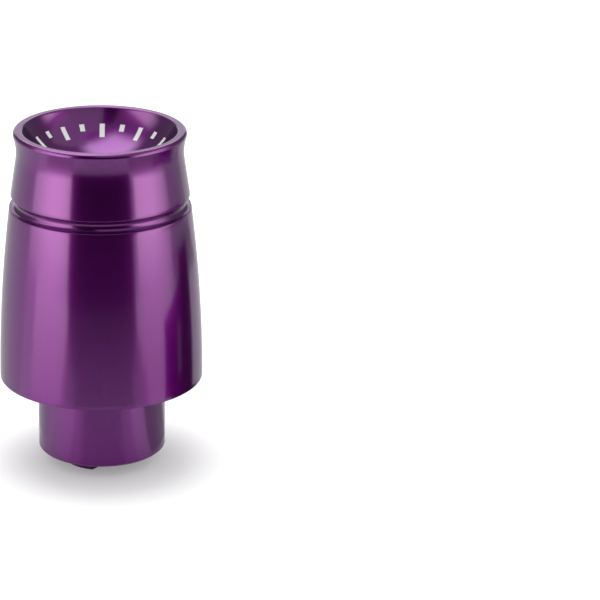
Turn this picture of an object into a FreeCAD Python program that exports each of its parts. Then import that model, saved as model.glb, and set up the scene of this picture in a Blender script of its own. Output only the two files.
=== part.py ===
import FreeCAD, Part
import math
import os

import Sketcher

# Bar end weight for a motorbike handlebar: one turned aluminium weight and the cap screw seated in it.
# Millimetres, +Z up along the turning axis, origin at the foot of the drive key that it stands on.

os.makedirs("parts", exist_ok=True)
doc = FreeCAD.newDocument("bar_end_weight")

# Driving dimensions, kept in the sheet as plain numbers

DRIVING = [
    ("key_height", 2.4, "drive key, from its foot to the end face of the spigot"),
    ("key_length", 13.9, "drive key, across its two round ends"),
    ("key_width", 5.8, "drive key, across its flats"),
    ("key_break", 0.25, "chamfer round the foot of the key"),
    ("spigot_diameter", 22.2, "spigot, the same as the handlebar tube it continues"),
    ("spigot_length", 13.4, "spigot, from its end face to the shoulder"),
    ("spigot_break", 0.35, "chamfer at the end of the spigot"),
    ("body_length", 44.6, "from the shoulder to the top of the rim"),
    ("base_diameter", 35.4, "widest part of the sleeve, at the shoulder"),
    ("base_break", 0.15, "rounding of the shoulder's outer edge"),
    ("sleeve_length", 31.0, "from the shoulder to the lower lip of the ring groove"),
    ("barrel_radius", 258.0, "long curve of the sleeve's side"),
    ("lower_lip_diameter", 31.36, "sleeve, at the lower lip of the ring groove"),
    ("groove_width", 2.05, "ring groove, between its lips, with a round bottom"),
    ("groove_break", 0.12, "rounding of both lips of the ring groove"),
    ("head_taper", 8.48, "degrees, slope of the head above the ring groove"),
    ("rim_diameter", 29.72, "outside of the rim"),
    ("rim_flare", 0.48, "how far the rim stands out past the neck, the narrowest part of the head"),
    ("neck_drop", 3.84, "from the top of the rim down to the neck"),
    ("rim_edge_radius", 0.66, "rounding of the rim's outer edge"),
    ("rim_land", 1.56, "from the outside of the rim in to the dish's mouth"),
    ("dish_radius", 14.0, "curve of the dish's wall, seen in section"),
    ("dish_depth", 6.7, "from the top of the rim to the edge of the counterbore"),
    ("dish_break", 0.22, "rounding of the dish's mouth"),
    ("screw_diameter", 6.0, "cap screw, outside of the thread"),
    ("screw_length", 45.0, "cap screw, below its head"),
    ("screw_tip_break", 0.7, "chamfer at the end of the thread"),
    ("head_diameter", 10.0, "cap screw's head"),
    ("head_height", 6.0, "cap screw's head"),
    ("head_break", 0.5, "rounding of the top edge of the screw's head"),
    ("socket_width", 5.0, "hexagon socket, across flats"),
    ("socket_depth", 3.0, "hexagon socket, depth of its flats"),
    ("socket_mouth_break", 0.25, "how far the socket's countersunk mouth reaches past its corners"),
    ("socket_point_angle", 120.0, "degrees, drill point below the socket"),
    ("head_proud", 0.4, "how far the screw's head stands above the counterbore's edge"),
    ("bore_clearance", 0.6, "bore over screw, on the diameter"),
    ("counterbore_clearance", 2.0, "counterbore over screw head, on the diameter"),
    ("counterbore_lip", 0.5, "rounding of the counterbore's edge"),
]

sheet = doc.addObject("Spreadsheet::Sheet", "sizes")
for row, (alias, value, meaning) in enumerate(DRIVING, start=1):
    sheet.set(f"A{row}", alias)
    sheet.set(f"B{row}", str(value))
    sheet.setAlias(f"B{row}", alias)
    sheet.set(f"C{row}", meaning)
doc.recompute()


def size(alias):
    """Value of one driving dimension."""
    return float(sheet.get(alias))


# Sizes that follow from the driving dimensions, once as sheet expressions and once as numbers

SHOULDER_LEVEL = "(sizes.key_height + sizes.spigot_length)"
LOWER_LIP_LEVEL = f"({SHOULDER_LEVEL} + sizes.sleeve_length)"
RIM_LEVEL = f"({SHOULDER_LEVEL} + sizes.body_length)"
DISH_LEVEL = f"({RIM_LEVEL} - sizes.dish_depth)"
COUNTERBORE_DEPTH = "(sizes.head_height - sizes.head_proud)"
COUNTERBORE_DIAMETER = "(sizes.head_diameter + sizes.counterbore_clearance)"
BORE_DIAMETER = "(sizes.screw_diameter + sizes.bore_clearance)"
NECK_RADIUS = "(sizes.rim_diameter / 2 - sizes.rim_flare)"
MOUTH_RADIUS = "(sizes.rim_diameter / 2 - sizes.rim_land)"
SEAT_LEVEL = f"({DISH_LEVEL} - {COUNTERBORE_DEPTH})"

shoulder_level = size("key_height") + size("spigot_length")
lower_lip_level = shoulder_level + size("sleeve_length")
upper_lip_level = lower_lip_level + size("groove_width")
rim_level = shoulder_level + size("body_length")
dish_level = rim_level - size("dish_depth")
counterbore_radius = (size("head_diameter") + size("counterbore_clearance")) / 2

CLOSE = 1e-4        # how near two lengths are to be the same
OVERCUT = 1.0       # how far a cut runs past the face that it starts from
GUIDE = 1.0         # length of a guide line

START, END, CENTRE = range(1, 4)
ORIGIN_POINT, VERTICAL_AXIS = -1, -2


# Sketch helpers

def point(r, z):
    return FreeCAD.Vector(r, z, 0)


def new_body(label):
    body = doc.addObject("PartDesign::Body", label)
    body.Label = label
    return body


def new_sketch(body, name, role, level=None):
    """Sketch on one of the body's own origin planes, raised to a level given as an expression."""
    plane = next(feature for feature in body.Origin.OriginFeatures if feature.Role == role)
    sketch = body.newObject("Sketcher::SketchObject", name)
    sketch.AttachmentSupport = [(plane, "")]
    sketch.MapMode = "FlatFace"
    if level:
        sketch.setExpression("AttachmentOffset.Base.z", level)
    return sketch


def fix(sketch, *constraint):
    return sketch.addConstraint(Sketcher.Constraint(*constraint))


def drive(sketch, name, expression, *constraint):
    """Dimension whose value is read from the sheet."""
    sketch.renameConstraint(fix(sketch, *constraint), name)
    sketch.setExpression(f"Constraints.{name}", expression)


def settle(sketch):
    """Recompute once the sketch is complete, which has to solve without a clash or a repeat."""
    doc.recompute()
    if sketch.solve() != 0:
        raise RuntimeError(f"{sketch.Label} does not solve")


def arc_about(centre, start, end):
    """Short arc about a centre, between two points that are equally far from it."""
    middle = (start + end) * 0.5 - centre
    middle.normalize()
    return Part.Arc(start, centre + middle * (start - centre).Length, end)


def ends_of(sketch, number, start):
    """The sketch's numbers for a piece's first and last point, whichever way round it counts them."""
    begins_there = sketch.getPoint(number, START).distanceToPoint(start) < CLOSE
    return (START, END) if begins_there else (END, START)


def add_outline(sketch, pieces, smooth=()):
    """Closed outline, each piece joined to the next, those in smooth without a corner."""
    placed = []
    for piece in pieces:
        number = sketch.addGeometry(piece, False)
        placed.append((number, *ends_of(sketch, number, piece.StartPoint)))
    for step, (current, _, last) in enumerate(placed):
        following, first, _ = placed[(step + 1) % len(placed)]
        fix(sketch, "Tangent" if step in smooth else "Coincident", current, last, following, first)
    return placed


def turn(body, kind, name, sketch):
    """Material added or cut away all round the turning axis."""
    feature = body.newObject(kind, name)
    feature.Profile = sketch
    feature.ReferenceAxis = (sketch, ["V_Axis"])
    feature.Angle = 360.0
    doc.recompute()
    return feature


def ring_edges(body, radius, level):
    """Names of the circular edges at one radius and height on the body's last feature."""
    names = []
    for index, edge in enumerate(body.Tip.Shape.Edges, start=1):
        ring = edge.Curve
        if not isinstance(ring, Part.Circle):
            continue
        if abs(ring.Radius - radius) < CLOSE and abs(ring.Center.z - level) < CLOSE:
            names.append(f"Edge{index}")
    return names


def level_edges(body, level):
    """Names of all edges that lie flat at one height."""
    names = []
    for index, edge in enumerate(body.Tip.Shape.Edges, start=1):
        box = edge.BoundBox
        if abs(box.ZMin - level) < CLOSE and abs(box.ZMax - level) < CLOSE:
            names.append(f"Edge{index}")
    return names


def dress(body, kind, name, edges, alias):
    """Fillet or chamfer on named edges, sized by one driving dimension."""
    if not edges:
        raise RuntimeError(f"{name} found no edge")
    base = body.Tip
    feature = body.newObject(kind, name)
    feature.Base = (base, edges)
    feature.setExpression("Radius" if kind == "PartDesign::Fillet" else "Size", f"sizes.{alias}")
    doc.recompute()
    return feature


def must_cut(body, before, what):
    if body.Shape.Volume > before - CLOSE:
        raise RuntimeError(f"{what} cut nothing")


# Turned weight: spigot, barrel-shaped sleeve, head, neck and rim are one piece of bar

def add_turned_form(body):
    """Half section of the turning before anything is cut into it, revolved."""
    spigot_r = size("spigot_diameter") / 2
    rim_r = size("rim_diameter") / 2
    neck_r = rim_r - size("rim_flare")
    edge_r = size("rim_edge_radius")
    taper = math.radians(size("head_taper"))
    foot = size("key_height")

    # sleeve's side, a long shallow arc from the shoulder up to the groove's lower lip
    base = point(size("base_diameter") / 2, shoulder_level)
    lip = point(size("lower_lip_diameter") / 2, lower_lip_level)
    chord = lip - base
    sag = size("barrel_radius") - math.sqrt(size("barrel_radius") ** 2 - (chord.Length / 2) ** 2)
    side_middle = (base + lip) * 0.5 + point(chord.y, -chord.x) * (sag / chord.Length)

    # neck, an arc tangent to the head's cone below it and to the rim's rounded edge above it
    rise = size("neck_drop") - edge_r
    overhang = neck_r - rim_r + edge_r
    neck_curve = (rise ** 2 + overhang ** 2 - edge_r ** 2) / (2 * (edge_r - overhang))
    neck_centre = point(neck_r + neck_curve, rim_level - size("neck_drop"))
    edge_centre = point(rim_r - edge_r, rim_level - edge_r)
    neck_low = neck_centre + point(-math.cos(taper), -math.sin(taper)) * neck_curve
    neck_high = neck_centre + (edge_centre - neck_centre) * (neck_curve / (neck_curve + edge_r))
    cone_low = neck_low + point(math.tan(taper), -1) * (neck_low.y - upper_lip_level)
    rim_top = point(rim_r - edge_r, rim_level)

    sketch = new_sketch(body, "turned_outline", "XZ_Plane")
    placed = add_outline(sketch, [
        Part.LineSegment(point(0, foot), point(spigot_r, foot)),
        Part.LineSegment(point(spigot_r, foot), point(spigot_r, shoulder_level)),
        Part.LineSegment(point(spigot_r, shoulder_level), base),
        Part.Arc(base, side_middle, lip),
        Part.LineSegment(lip, cone_low),
        Part.LineSegment(cone_low, neck_low),
        arc_about(neck_centre, neck_low, neck_high),
        arc_about(edge_centre, neck_high, rim_top),
        Part.LineSegment(rim_top, point(0, rim_level)),
        Part.LineSegment(point(0, rim_level), point(0, foot)),
    ], smooth=(5, 6, 7))
    end_face, spigot, shoulder, side, gap, cone, neck, edge, top, axis = (piece[0] for piece in placed)
    side_last = placed[3][2]

    for level_line in (end_face, shoulder, top):
        fix(sketch, "Horizontal", level_line)
    fix(sketch, "Vertical", spigot)
    fix(sketch, "PointOnObject", end_face, START, VERTICAL_AXIS)
    fix(sketch, "PointOnObject", axis, START, VERTICAL_AXIS)
    # upright guide lines touch the neck at its narrowest and the rim at its widest
    guides = []
    for curve, touch in ((neck, point(neck_r, neck_centre.y)), (edge, point(rim_r, edge_centre.y))):
        guide = sketch.addGeometry(Part.LineSegment(touch, touch + point(0, GUIDE)), True)
        fix(sketch, "Vertical", guide)
        fix(sketch, "DistanceY", guide, START, guide, END, GUIDE)
        fix(sketch, "Tangent", guide, curve)
        fix(sketch, "Horizontal", guide, START, curve, CENTRE)
        guides.append(guide)
    neck_guide, rim_guide = guides

    across = ("DistanceX", ORIGIN_POINT, START)
    upward = ("DistanceY", ORIGIN_POINT, START)
    drive(sketch, "foot_level", "sizes.key_height", *upward, end_face, START, foot)
    drive(sketch, "spigot_r", "sizes.spigot_diameter / 2", *across, end_face, END, spigot_r)
    drive(sketch, "shoulder_level", SHOULDER_LEVEL, *upward, shoulder, START, shoulder_level)
    drive(sketch, "base_r", "sizes.base_diameter / 2", *across, shoulder, END, base.x)
    drive(sketch, "lip_r", "sizes.lower_lip_diameter / 2", *across, side, side_last, lip.x)
    drive(sketch, "lip_level", LOWER_LIP_LEVEL, *upward, side, side_last, lip.y)
    drive(sketch, "side_radius", "sizes.barrel_radius", "Radius", side, size("barrel_radius"))
    gap_height = size("groove_width")
    drive(sketch, "gap_height", "sizes.groove_width", "DistanceY", gap, START, gap, END, gap_height)
    drive(sketch, "cone_angle", "90 + sizes.head_taper", "Angle", cone, math.pi / 2 + taper)
    drive(sketch, "neck_r", NECK_RADIUS, *across, neck_guide, START, neck_r)
    drive(sketch, "neck_drop", "sizes.neck_drop", "DistanceY", neck, CENTRE, top, START, size("neck_drop"))
    drive(sketch, "rim_r", "sizes.rim_diameter / 2", *across, rim_guide, START, rim_r)
    drive(sketch, "edge_radius", "sizes.rim_edge_radius", "Radius", edge, edge_r)
    drive(sketch, "rim_level", RIM_LEVEL, *upward, top, START, rim_level)
    settle(sketch)
    turn(body, "PartDesign::Revolution", "turned_form", sketch)
    dress(body, "PartDesign::Chamfer", "spigot_end", ring_edges(body, spigot_r, foot), "spigot_break")
    widest = ring_edges(body, base.x, shoulder_level)
    dress(body, "PartDesign::Fillet", "shoulder_edge", widest, "base_break")
    return cone_low


def add_ring_groove(body, upper_lip):
    """Round-bottomed groove whose lips are the two ends of the gap in the outline."""
    lower_lip = point(size("lower_lip_diameter") / 2, lower_lip_level)
    middle = (lower_lip + upper_lip) * 0.5
    cutter_r = (upper_lip - lower_lip).Length / 2
    sketch = new_sketch(body, "ring_groove_section", "XZ_Plane")
    circle = sketch.addGeometry(Part.Circle(middle, FreeCAD.Vector(0, 0, 1), cutter_r), False)
    lip_guide = sketch.addGeometry(Part.LineSegment(lower_lip, upper_lip), True)
    outline = body.getObject("turned_outline")
    sketch.addExternal(outline.Name, "Edge5")
    fix(sketch, "Coincident", lip_guide, START, -3, START)
    fix(sketch, "Coincident", lip_guide, END, -3, END)
    fix(sketch, "PointOnObject", lip_guide, START, circle)
    fix(sketch, "PointOnObject", lip_guide, END, circle)
    fix(sketch, "PointOnObject", circle, CENTRE, lip_guide)
    settle(sketch)
    before = body.Shape.Volume
    turn(body, "PartDesign::Groove", "ring_groove", sketch)
    must_cut(body, before, "ring groove")
    lips = ring_edges(body, lower_lip.x, lower_lip.y) + ring_edges(body, upper_lip.x, upper_lip.y)
    dress(body, "PartDesign::Fillet", "ring_groove_lips", lips, "groove_break")


def add_dish(body):
    """Concave bowl from the flat of the rim down to the edge of the counterbore."""
    mouth = point(size("rim_diameter") / 2 - size("rim_land"), rim_level)
    low = point(counterbore_radius, dish_level)
    chord = mouth - low
    sag = size("dish_radius") - math.sqrt(size("dish_radius") ** 2 - (chord.Length / 2) ** 2)
    wall_middle = (mouth + low) * 0.5 + point(chord.y, -chord.x) * (sag / chord.Length)
    over = point(0, OVERCUT)

    sketch = new_sketch(body, "dish_section", "XZ_Plane")
    placed = add_outline(sketch, [
        Part.LineSegment(point(0, dish_level), low),
        Part.Arc(low, wall_middle, mouth),
        Part.LineSegment(mouth, mouth + over),
        Part.LineSegment(mouth + over, point(0, rim_level) + over),
        Part.LineSegment(point(0, rim_level) + over, point(0, dish_level)),
    ])
    floor, wall, lead, lid, axis = (piece[0] for piece in placed)
    fix(sketch, "Horizontal", floor)
    fix(sketch, "Horizontal", lid)
    fix(sketch, "Vertical", lead)
    fix(sketch, "PointOnObject", floor, START, VERTICAL_AXIS)
    fix(sketch, "PointOnObject", axis, START, VERTICAL_AXIS)
    across = ("DistanceX", ORIGIN_POINT, START)
    upward = ("DistanceY", ORIGIN_POINT, START)
    drive(sketch, "floor_r", f"{COUNTERBORE_DIAMETER} / 2", *across, floor, END, counterbore_radius)
    drive(sketch, "floor_level", DISH_LEVEL, *upward, floor, END, dish_level)
    drive(sketch, "mouth_r", MOUTH_RADIUS, *across, lead, START, mouth.x)
    drive(sketch, "mouth_level", RIM_LEVEL, *upward, lead, START, rim_level)
    drive(sketch, "wall_radius", "sizes.dish_radius", "Radius", wall, size("dish_radius"))
    fix(sketch, "DistanceY", lead, START, lead, END, OVERCUT)
    settle(sketch)
    before = body.Shape.Volume
    turn(body, "PartDesign::Groove", "dish", sketch)
    must_cut(body, before, "dish")
    dress(body, "PartDesign::Fillet", "dish_mouth", ring_edges(body, mouth.x, rim_level), "dish_break")


def add_drive_key(body):
    """Tongue with round ends under the spigot, which stops the weight turning on the bar."""
    radius = size("key_length") / 2
    half_width = size("key_width") / 2
    reach = math.sqrt(radius ** 2 - half_width ** 2)
    corners = [point(x, y) for x, y in ((reach, half_width), (-reach, half_width),
                                        (-reach, -half_width), (reach, -half_width))]
    right = point(radius, 0)
    left = point(-radius, 0)

    sketch = new_sketch(body, "drive_key_section", "XY_Plane", "sizes.key_height")
    placed = add_outline(sketch, [
        Part.LineSegment(corners[0], corners[1]),
        Part.Arc(corners[1], left, corners[2]),
        Part.LineSegment(corners[2], corners[3]),
        Part.Arc(corners[3], right, corners[0]),
    ])
    back, left_end, front, right_end = (piece[0] for piece in placed)
    for flat in (back, front):
        fix(sketch, "Horizontal", flat)
    for round_end in (left_end, right_end):
        fix(sketch, "Coincident", round_end, CENTRE, ORIGIN_POINT, START)
    drive(sketch, "end_radius", "sizes.key_length / 2", "Radius", right_end, radius)
    half = "sizes.key_width / 2"
    drive(sketch, "back_flat", half, "DistanceY", ORIGIN_POINT, START, back, START, half_width)
    drive(sketch, "front_flat", half, "DistanceY", front, END, ORIGIN_POINT, START, half_width)
    settle(sketch)
    key = body.newObject("PartDesign::Pad", "drive_key")
    key.Profile = sketch
    key.Reversed = True
    key.setExpression("Length", "sizes.key_height")
    doc.recompute()
    dress(body, "PartDesign::Chamfer", "drive_key_foot", level_edges(body, 0), "key_break")


def add_screw_hole(body):
    """Clearance bore right through, counterbored from the bottom of the dish for the screw's head."""
    sketch = new_sketch(body, "screw_hole_centre", "XY_Plane", DISH_LEVEL)
    circle = sketch.addGeometry(Part.Circle(point(0, 0), FreeCAD.Vector(0, 0, 1), counterbore_radius), False)
    fix(sketch, "Coincident", circle, CENTRE, ORIGIN_POINT, START)
    drive(sketch, "hole_radius", f"{COUNTERBORE_DIAMETER} / 2", "Radius", circle, counterbore_radius)
    settle(sketch)
    before = body.Shape.Volume
    hole = body.newObject("PartDesign::Hole", "screw_hole")
    hole.Profile = sketch
    hole.DepthType = "ThroughAll"
    hole.HoleCutType = "Counterbore"
    hole.HoleCutCustomValues = True
    hole.setExpression("Diameter", BORE_DIAMETER)
    hole.setExpression("HoleCutDiameter", COUNTERBORE_DIAMETER)
    hole.setExpression("HoleCutDepth", COUNTERBORE_DEPTH)
    doc.recompute()
    must_cut(body, before, "screw hole")
    lip = ring_edges(body, counterbore_radius, dish_level)
    dress(body, "PartDesign::Fillet", "counterbore_lip", lip, "counterbore_lip")


def build_weight():
    body = new_body("weight_body")
    upper_lip = add_turned_form(body)
    add_ring_groove(body, upper_lip)
    add_dish(body)
    add_drive_key(body)
    add_screw_hole(body)
    return body


# Socket head cap screw, standing on its head's underside at the body's own origin

def build_screw():
    body = new_body("cap_screw")
    head_r = size("head_diameter") / 2
    shank_r = size("screw_diameter") / 2
    head_top = size("head_height")
    tip = -size("screw_length")

    sketch = new_sketch(body, "screw_outline", "XZ_Plane")
    placed = add_outline(sketch, [
        Part.LineSegment(point(0, tip), point(shank_r, tip)),
        Part.LineSegment(point(shank_r, tip), point(shank_r, 0)),
        Part.LineSegment(point(shank_r, 0), point(head_r, 0)),
        Part.LineSegment(point(head_r, 0), point(head_r, head_top)),
        Part.LineSegment(point(head_r, head_top), point(0, head_top)),
        Part.LineSegment(point(0, head_top), point(0, tip)),
    ])
    end, shank, seat, side, top, axis = (piece[0] for piece in placed)
    for level_line in (end, seat, top):
        fix(sketch, "Horizontal", level_line)
    for upright in (shank, side, axis):
        fix(sketch, "Vertical", upright)
    fix(sketch, "PointOnObject", end, START, VERTICAL_AXIS)
    fix(sketch, "DistanceY", ORIGIN_POINT, START, seat, START, 0.0)
    across = ("DistanceX", ORIGIN_POINT, START)
    drive(sketch, "shank_r", "sizes.screw_diameter / 2", *across, shank, START, shank_r)
    drive(sketch, "shank_length", "sizes.screw_length", "DistanceY", shank, START, shank, END, -tip)
    drive(sketch, "head_r", "sizes.head_diameter / 2", *across, seat, END, head_r)
    drive(sketch, "head_height", "sizes.head_height", "DistanceY", side, START, side, END, head_top)
    settle(sketch)
    turn(body, "PartDesign::Revolution", "screw_form", sketch)
    dress(body, "PartDesign::Chamfer", "screw_tip", ring_edges(body, shank_r, tip), "screw_tip_break")
    dress(body, "PartDesign::Fillet", "head_edge", ring_edges(body, head_r, head_top), "head_break")
    add_socket(body, head_top)

    body.setExpression("Placement.Base.z", SEAT_LEVEL)
    doc.recompute()
    return body


def add_socket(body, head_top):
    """Hexagon socket with a countersunk mouth and a drill point at its bottom."""
    corner_r = size("socket_width") / math.sqrt(3)
    angles = [math.radians(60 * step) for step in range(6)]
    corners = [point(corner_r * math.cos(angle), corner_r * math.sin(angle)) for angle in angles]
    sides = [Part.LineSegment(start, end) for start, end in zip(corners, corners[1:] + corners[:1])]

    sketch = new_sketch(body, "socket_section", "XY_Plane", "sizes.head_height")
    placed = [piece[0] for piece in add_outline(sketch, sides)]
    guide = sketch.addGeometry(Part.Circle(point(0, 0), FreeCAD.Vector(0, 0, 1), corner_r), True)
    fix(sketch, "Coincident", guide, CENTRE, ORIGIN_POINT, START)
    for side in placed:
        fix(sketch, "PointOnObject", side, START, guide)
    for side in placed[1:]:
        fix(sketch, "Equal", placed[0], side)
    fix(sketch, "Horizontal", placed[1])
    drive(sketch, "corner_radius", "sizes.socket_width / sqrt(3)", "Radius", guide, corner_r)
    settle(sketch)
    before = body.Shape.Volume
    socket = body.newObject("PartDesign::Pocket", "socket")
    socket.Profile = sketch
    socket.setExpression("Length", "sizes.socket_depth")
    doc.recompute()
    must_cut(body, before, "socket")

    add_drill_point(body, head_top - size("socket_depth"))
    add_socket_mouth(body, head_top, corner_r)


def add_drill_point(body, bottom):
    """Shallow cone that the drill left below the flats of the socket."""
    flat_r = size("socket_width") / 2
    depth = flat_r / math.tan(math.radians(size("socket_point_angle") / 2))
    sketch = new_sketch(body, "drill_point_section", "XZ_Plane")
    slope, flat, axis = (piece[0] for piece in add_outline(sketch, [
        Part.LineSegment(point(0, bottom - depth), point(flat_r, bottom)),
        Part.LineSegment(point(flat_r, bottom), point(0, bottom)),
        Part.LineSegment(point(0, bottom), point(0, bottom - depth)),
    ]))
    fix(sketch, "Horizontal", flat)
    fix(sketch, "PointOnObject", slope, START, VERTICAL_AXIS)
    fix(sketch, "PointOnObject", axis, START, VERTICAL_AXIS)
    level = "sizes.head_height - sizes.socket_depth"
    rise = "90 - sizes.socket_point_angle / 2"
    drive(sketch, "flat_level", level, "DistanceY", ORIGIN_POINT, START, flat, START, bottom)
    drive(sketch, "flat_r", "sizes.socket_width / 2", "DistanceX", ORIGIN_POINT, START, flat, START, flat_r)
    drive(sketch, "slope_rise", rise, "Angle", slope, math.atan2(depth, flat_r))
    settle(sketch)
    before = body.Shape.Volume
    turn(body, "PartDesign::Groove", "drill_point", sketch)
    must_cut(body, before, "drill point")


def add_socket_mouth(body, head_top, corner_r):
    """Countersink that breaks the six corners where the socket meets the top of the head."""
    spread = size("socket_mouth_break")
    mouth_r = corner_r + spread
    low_r = corner_r - spread
    low = head_top - 2 * spread
    sketch = new_sketch(body, "socket_mouth_section", "XZ_Plane")
    floor, slope, lid, axis = (piece[0] for piece in add_outline(sketch, [
        Part.LineSegment(point(0, low), point(low_r, low)),
        Part.LineSegment(point(low_r, low), point(mouth_r, head_top)),
        Part.LineSegment(point(mouth_r, head_top), point(0, head_top)),
        Part.LineSegment(point(0, head_top), point(0, low)),
    ]))
    fix(sketch, "Horizontal", floor)
    fix(sketch, "Horizontal", lid)
    fix(sketch, "PointOnObject", floor, START, VERTICAL_AXIS)
    fix(sketch, "PointOnObject", axis, START, VERTICAL_AXIS)
    fix(sketch, "Angle", slope, math.pi / 4)
    wide = "sizes.socket_width / sqrt(3) + sizes.socket_mouth_break"
    drive(sketch, "lid_level", "sizes.head_height", "DistanceY", ORIGIN_POINT, START, lid, START, head_top)
    drive(sketch, "mouth_r", wide, "DistanceX", ORIGIN_POINT, START, lid, START, mouth_r)
    drive(sketch, "drop", "2 * sizes.socket_mouth_break", "DistanceY", slope, START, slope, END, 2 * spread)
    settle(sketch)
    before = body.Shape.Volume
    turn(body, "PartDesign::Groove", "socket_mouth", sketch)
    must_cut(body, before, "socket mouth")


weight_body = build_weight()
cap_screw = build_screw()

# Every object has to have computed, and each sub-part has to be one valid solid, before it is written

for item in doc.Objects:
    if "Invalid" in item.State or "Error" in item.State:
        raise RuntimeError(f"{item.Label} failed: {item.State}")
for body in (weight_body, cap_screw):
    shape = body.Shape
    if shape.isNull() or not shape.isValid() or len(shape.Solids) != 1:
        raise RuntimeError(f"{body.Label} is not one valid solid")
    print(f"{body.Label}: {shape.Volume:.1f} mm3")
    shape.exportStep(f"parts/{body.Label}.step")
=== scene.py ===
"""Bar end weight for a motorbike handlebar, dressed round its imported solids.

Metres, +Z up along the turning axis, origin at the foot of the drive key that the weight stands on.
"""

import math

import bmesh
import bpy
from bpy.props import FloatProperty, FloatVectorProperty, IntProperty, PointerProperty
from mathutils import Matrix, Vector


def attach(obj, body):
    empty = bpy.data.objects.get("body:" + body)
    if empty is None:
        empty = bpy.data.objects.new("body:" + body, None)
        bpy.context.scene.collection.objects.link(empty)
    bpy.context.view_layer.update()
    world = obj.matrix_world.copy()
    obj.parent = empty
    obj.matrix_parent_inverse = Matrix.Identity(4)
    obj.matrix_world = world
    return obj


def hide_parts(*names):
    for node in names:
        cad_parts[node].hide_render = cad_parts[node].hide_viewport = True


bl_info = {
    "name": "Bar end weight",
    "version": (1, 0, 0),
    "blender": (4, 5, 0),
    "location": "3D View > Sidebar > Bar end",
    "description": "Builds a turned and anodised bar end weight with its cap screw, and a studio for it",
    "category": "Object",
}

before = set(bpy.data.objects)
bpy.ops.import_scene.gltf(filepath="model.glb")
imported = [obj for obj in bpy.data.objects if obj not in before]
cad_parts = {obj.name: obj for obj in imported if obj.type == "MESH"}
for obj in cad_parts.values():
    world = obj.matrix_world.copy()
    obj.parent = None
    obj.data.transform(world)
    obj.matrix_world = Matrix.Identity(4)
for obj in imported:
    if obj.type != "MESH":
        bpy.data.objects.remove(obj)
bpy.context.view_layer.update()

MM = 0.001
FULL_TURN = math.tau
SMOOTH_LIMIT = math.radians(32)         # faces that meet at less than this are shaded as one surface
SEAM = 1e-7                             # points nearer than this are one point


# Sizes and colours

def length(name, description, millimetres):
    return FloatProperty(name=name, description=description, default=millimetres * MM,
                         min=0.0, precision=5, unit="LENGTH")


def colour(name, description, default):
    return FloatVectorProperty(name=name, description=description, default=default,
                               subtype="COLOR", min=0.0, max=1.0)


class WeightSizes(bpy.types.PropertyGroup):
    """Sizes of the turned weight."""
    key_height: length("Key height", "Drive key, from its foot to the spigot's end face", 2.4)
    key_length: length("Key length", "Drive key, across its round ends", 13.9)
    key_width: length("Key width", "Drive key, across its flats", 5.8)
    key_break: length("Key break", "Chamfer round the foot of the key", 0.25)
    spigot_diameter: length("Spigot diameter", "The same as the handlebar tube it continues", 22.2)
    spigot_length: length("Spigot length", "From its end face to the shoulder", 13.4)
    spigot_break: length("Spigot break", "Chamfer at the end of the spigot", 0.35)
    body_length: length("Body length", "From the shoulder to the top of the rim", 44.6)
    base_diameter: length("Base diameter", "Widest part of the sleeve", 35.4)
    base_break: length("Base break", "Rounding of the shoulder's outer edge", 0.15)
    sleeve_length: length("Sleeve length", "From the shoulder to the groove's lower lip", 31.0)
    barrel_radius: length("Barrel radius", "Long curve of the sleeve's side", 258.0)
    lip_diameter: length("Lip diameter", "Sleeve, at the groove's lower lip", 31.36)
    groove_width: length("Groove width", "Ring groove, between its lips", 2.05)
    groove_break: length("Groove break", "Rounding of the groove's lips", 0.12)
    head_taper: FloatProperty(name="Head taper", description="Slope of the head above the groove",
                              default=math.radians(8.48), subtype="ANGLE")
    rim_diameter: length("Rim diameter", "Outside of the rim", 29.72)
    rim_flare: length("Rim flare", "How far the rim stands out past the neck", 0.48)
    neck_drop: length("Neck drop", "From the top of the rim down to the neck", 3.84)
    rim_edge: length("Rim edge", "Rounding of the rim's outer edge", 0.66)
    rim_land: length("Rim land", "From the outside of the rim in to the dish's mouth", 1.56)
    dish_radius: length("Dish radius", "Curve of the dish's wall", 14.0)
    dish_depth: length("Dish depth", "From the rim down to the counterbore's edge", 6.7)
    dish_break: length("Dish break", "Rounding of the dish's mouth", 0.40)
    counterbore_diameter: length("Counterbore diameter", "Recess for the screw's head", 12.0)
    counterbore_depth: length("Counterbore depth", "From its edge to the screw's seat", 5.6)
    counterbore_lip: length("Counterbore lip", "Rounding of the counterbore's edge", 0.5)
    bore_diameter: length("Bore diameter", "Clearance hole for the screw", 6.6)
    around: IntProperty(name="Steps round", description="Faces round the full turn",
                        default=256, min=32, max=512)


class ScrewSizes(bpy.types.PropertyGroup):
    """Sizes of the M6 socket head cap screw."""
    diameter: length("Diameter", "Outside of the thread", 6.0)
    under_head: length("Length", "Below the head", 45.0)
    pitch: length("Pitch", "Rise of the thread in one turn", 1.0)
    thread_length: length("Thread length", "Threaded part, from the tip", 24.0)
    tip_break: length("Tip break", "Plain part and chamfer at the tip", 0.7)
    head_diameter: length("Head diameter", "Over the knurl", 10.0)
    head_height: length("Head height", "From the seat to the top", 6.0)
    head_break: length("Head break", "Rounding of the head's top edge", 0.5)
    knurl_depth: length("Knurl depth", "Grooves round the head", 0.12)
    knurl_margin: length("Knurl margin", "Plain part of the head's side, under the knurl", 0.4)
    socket_width: length("Socket width", "Hexagon, across flats", 5.0)
    socket_depth: length("Socket depth", "Depth of the hexagon's flats", 3.0)
    socket_break: length("Socket break", "How far the countersunk mouth reaches past the corners", 0.25)


class FinishColours(bpy.types.PropertyGroup):
    """Colours of the finishes."""
    anodised: colour("Anodised", "Dyed anodising seen face on", (0.170, 0.0060, 0.205))
    marks: colour("Marks", "Plain marks printed round the dish", (0.86, 0.87, 0.85))
    steel: colour("Steel", "Stainless steel of the screw", (0.46, 0.455, 0.44))
    floor: colour("Floor", "Pale floor under the part", (0.80, 0.80, 0.80))


# Half sections that are spun into turned pieces

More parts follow.
